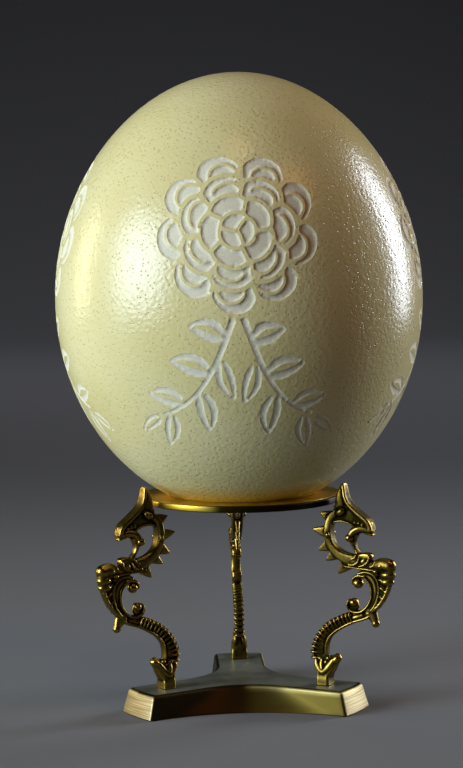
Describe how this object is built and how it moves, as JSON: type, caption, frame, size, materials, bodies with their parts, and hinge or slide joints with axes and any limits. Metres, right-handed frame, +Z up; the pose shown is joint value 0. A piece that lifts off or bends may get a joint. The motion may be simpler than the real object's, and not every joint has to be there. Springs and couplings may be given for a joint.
{
  "type": "ostrich egg on a three-legged stand",
  "caption": "Whole ostrich egg with a lightly carved floral shell, upright in a flat ring carried by scrolled cast legs on a three-cornered plate base.",
  "frame": {"origin": "on the stand's vertical axis, which is also the egg's long axis, at the flat underside of the base", "axes": "+Z up along the egg's long axis; +Y towards the back leg, so the side between the two front legs faces -Y; leg_left is at 210 degrees and leg_right at 330 degrees about +Z from +X"},
  "size_m": [0.127, 0.127, 0.2192],
  "materials": {
    "eggshell": "gloss",
    "polished_brass": "polished",
    "cast_brass": "gloss",
    "base_brass": "satin"
  },
  "bodies": {
    "root": {"egg": "eggshell", "ring": "polished_brass", "leg_left": "cast_brass", "leg_right": "cast_brass", "leg_back": "cast_brass", "base": "base_brass"}
  },
  "joints": []
}
